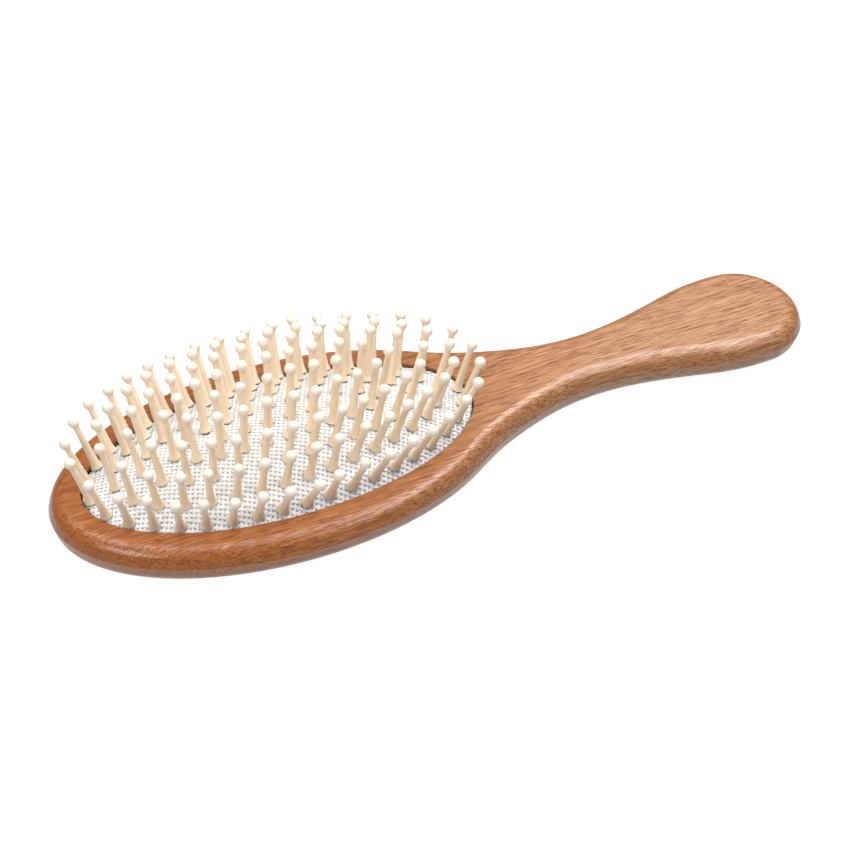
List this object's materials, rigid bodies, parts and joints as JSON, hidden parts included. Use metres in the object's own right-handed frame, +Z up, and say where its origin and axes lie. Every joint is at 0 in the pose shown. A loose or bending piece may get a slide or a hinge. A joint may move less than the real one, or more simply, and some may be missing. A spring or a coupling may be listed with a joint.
{
  "type": "oval cushion hairbrush",
  "caption": "Oval wooden hairbrush with a flat waisted handle and a domed, cloth-faced rubber cushion that carries rings of ball-tipped wooden pins.",
  "frame": {"origin": "under the middle of the brush, on its flat back", "axes": "+X along the brush towards the handle's end, +Z up out of the cushion along the pins"},
  "size_m": [0.2242, 0.0732, 0.0355],
  "materials": {
    "beech": "satin varnish",
    "cushion": "white rubber faced with a woven cloth",
    "pin_wood": "smooth, pale, unvarnished"
  },
  "bodies": {
    "wood": {"wood_body": "beech", "rubber_cushion": "cushion"},
    "crown_pins": {"ring4_level7_right_pins": "pin_wood", "ring4_level7_left_pins": "pin_wood", "centre_row_tip_pins": "pin_wood", "centre_row_heel_pins": "pin_wood"},
    "level6_pins": {"ring3_level6_right_pins": "pin_wood", "ring3_level6_left_pins": "pin_wood", "ring4_level6_heel_pins": "pin_wood", "ring4_level6_right_pins": "pin_wood", "ring4_level6_left_pins": "pin_wood"},
    "level5_pins": {"ring3_level5_right_pins": "pin_wood", "ring3_level5_left_pins": "pin_wood", "ring4_level5_tip_pins": "pin_wood"},
    "level4_pins": {"ring2_level4_right_pins": "pin_wood", "ring2_level4_left_pins": "pin_wood", "ring3_level4_tip_pins": "pin_wood", "ring3_level4_heel_pins": "pin_wood", "ring3_level4_right_pins": "pin_wood", "ring3_level4_left_pins": "pin_wood"},
    "level3_pins": {"ring2_level3_right_pins": "pin_wood", "ring2_level3_left_pins": "pin_wood"},
    "level2_pins": {"ring2_level2_tip_pins": "pin_wood", "ring2_level2_heel_pins": "pin_wood", "ring2_level2_right_pins": "pin_wood", "ring2_level2_left_pins": "pin_wood"},
    "edge_pins": {"ring1_level1_tip_pins": "pin_wood", "ring1_level1_heel_pins": "pin_wood", "ring1_level1_right_pins": "pin_wood", "ring1_level1_left_pins": "pin_wood"}
  },
  "joints": [
    {"name": "crown_press", "type": "slide", "parent": "wood", "child": "crown_pins", "axis": [0, 0, -1], "range_m": [0, 0.0045], "stiffness_N_per_m": 1500, "deforming": ["rubber_cushion"]},
    {"name": "level6_press", "type": "slide", "parent": "wood", "child": "level6_pins", "axis": [0, 0, -1], "range_m": [0, 0.00405]},
    {"name": "level5_press", "type": "slide", "parent": "wood", "child": "level5_pins", "axis": [0, 0, -1], "range_m": [0, 0.00355]},
    {"name": "level4_press", "type": "slide", "parent": "wood", "child": "level4_pins", "axis": [0, 0, -1], "range_m": [0, 0.0027]},
    {"name": "level3_press", "type": "slide", "parent": "wood", "child": "level3_pins", "axis": [0, 0, -1], "range_m": [0, 0.00206]},
    {"name": "level2_press", "type": "slide", "parent": "wood", "child": "level2_pins", "axis": [0, 0, -1], "range_m": [0, 0.00142]},
    {"name": "edge_press", "type": "slide", "parent": "wood", "child": "edge_pins", "axis": [0, 0, -1], "range_m": [0, 0.00039]}
  ],
  "couplings": [
    {"joint": "level6_press", "follows": "crown_press", "ratio": 0.8894},
    {"joint": "level5_press", "follows": "crown_press", "ratio": 0.778},
    {"joint": "level4_press", "follows": "crown_press", "ratio": 0.5879},
    {"joint": "level3_press", "follows": "crown_press", "ratio": 0.4463},
    {"joint": "level2_press", "follows": "crown_press", "ratio": 0.3048},
    {"joint": "edge_press", "follows": "crown_press", "ratio": 0.0748}
  ]
}
